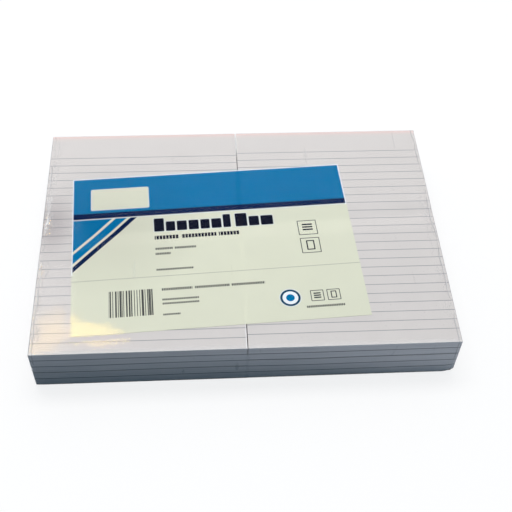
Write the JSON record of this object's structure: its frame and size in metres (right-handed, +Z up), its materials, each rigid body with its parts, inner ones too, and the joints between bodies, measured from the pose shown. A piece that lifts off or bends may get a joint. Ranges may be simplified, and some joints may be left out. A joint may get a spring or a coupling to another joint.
{
  "type": "shrink-wrapped pack of ruled writing pads",
  "caption": "Flat sealed pack of ruled A5 writing pads laid in stacks side by side, with a printed label card on top under clear shrink film.",
  "frame": {"origin": "middle of the pack's footprint, on the surface that the pack lies on", "axes": "+X along the pack's long side, across both stacks; +Y towards the pads' gummed heads; +Z up, out of the label"},
  "size_m": [0.2978, 0.2112, 0.0385],
  "materials": {
    "ruled_paper": "matt off-white recycled paper with fine grey ruling",
    "backing_board": "matt grey board",
    "padding_gum": "dried white padding gum, soft and slightly glossy",
    "label_card": "smooth printed card in cream with blue fields",
    "clear_film": "clear glossy shrink film, tight, with fine wrinkles at the ends"
  },
  "bodies": {
    "root": {"left_pad_1_sheets": "ruled_paper", "left_pad_1_board": "backing_board", "left_pad_1_gum": "padding_gum", "left_pad_2_sheets": "ruled_paper", "left_pad_2_board": "backing_board", "left_pad_2_gum": "padding_gum", "left_pad_3_sheets": "ruled_paper", "left_pad_3_board": "backing_board", "left_pad_3_gum": "padding_gum", "left_pad_4_sheets": "ruled_paper", "left_pad_4_board": "backing_board", "left_pad_4_gum": "padding_gum", "left_pad_5_sheets": "ruled_paper", "left_pad_5_board": "backing_board", "left_pad_5_gum": "padding_gum", "right_pad_1_sheets": "ruled_paper", "right_pad_1_board": "backing_board", "right_pad_1_gum": "padding_gum", "right_pad_2_sheets": "ruled_paper", "right_pad_2_board": "backing_board", "right_pad_2_gum": "padding_gum", "right_pad_3_sheets": "ruled_paper", "right_pad_3_board": "backing_board", "right_pad_3_gum": "padding_gum", "right_pad_4_sheets": "ruled_paper", "right_pad_4_board": "backing_board", "right_pad_4_gum": "padding_gum", "right_pad_5_sheets": "ruled_paper", "right_pad_5_board": "backing_board", "right_pad_5_gum": "padding_gum", "pack_label": "label_card", "shrink_film": "clear_film"}
  },
  "joints": []
}
